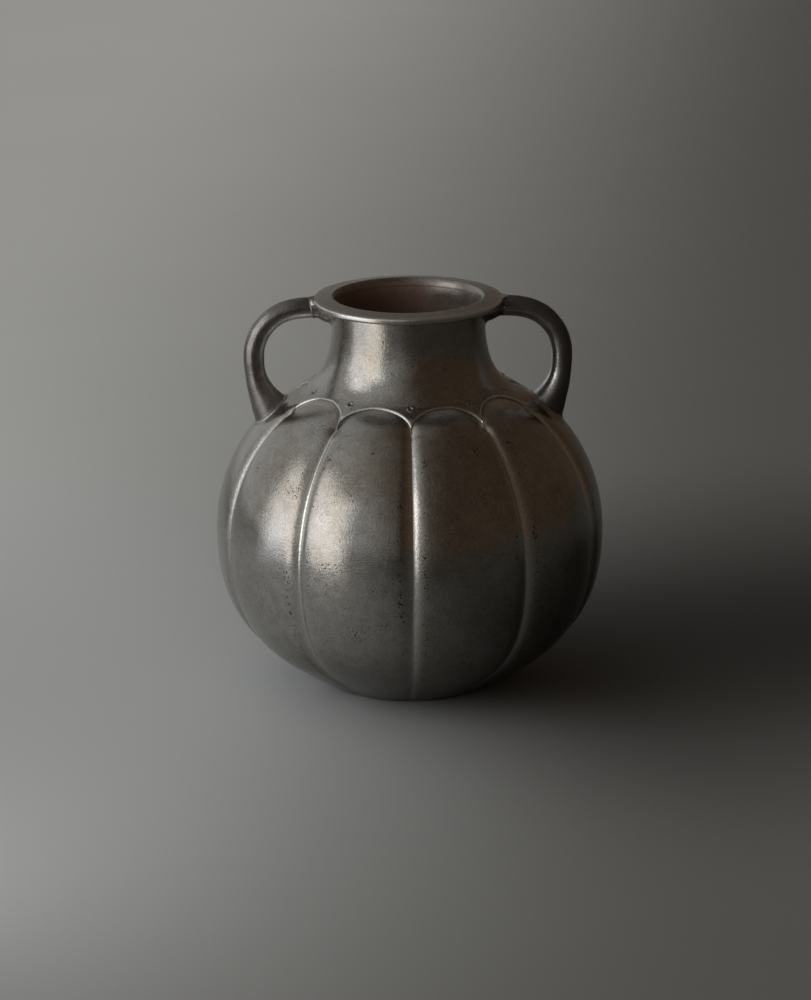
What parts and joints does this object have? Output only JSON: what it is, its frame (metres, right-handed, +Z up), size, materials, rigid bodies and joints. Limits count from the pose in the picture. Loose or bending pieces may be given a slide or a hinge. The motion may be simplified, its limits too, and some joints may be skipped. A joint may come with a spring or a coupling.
{
  "type": "pewter vase",
  "caption": "Round pewter vase with a lobed melon body, scalloped shoulder, short flaring neck, broad flat rim and an ear handle on each side.",
  "frame": {"origin": "centre of the base disc's underside, which rests on the table", "axes": "+Z up along the vase's axis; the two handles lie along -X and +X, each over the middle of a lobe; a groove faces -Y"},
  "size_m": [0.1762, 0.174, 0.18],
  "materials": {
    "cast_pewter": "satin, darkened grey-brown with age, finely pitted",
    "handle_pewter": "satin, browner patina",
    "solder": "satin, slightly rough"
  },
  "bodies": {
    "root": {"body_shell": "cast_pewter", "shoulder_neck": "cast_pewter", "rim_ring": "cast_pewter", "base_disc": "cast_pewter", "handle_left": "handle_pewter", "handle_right": "handle_pewter", "solder_seam_left": "solder", "solder_seam_right": "solder", "solder_foot_left": "solder", "solder_foot_right": "solder", "solder_base": "solder", "solder_shoulder": "solder"}
  },
  "joints": []
}
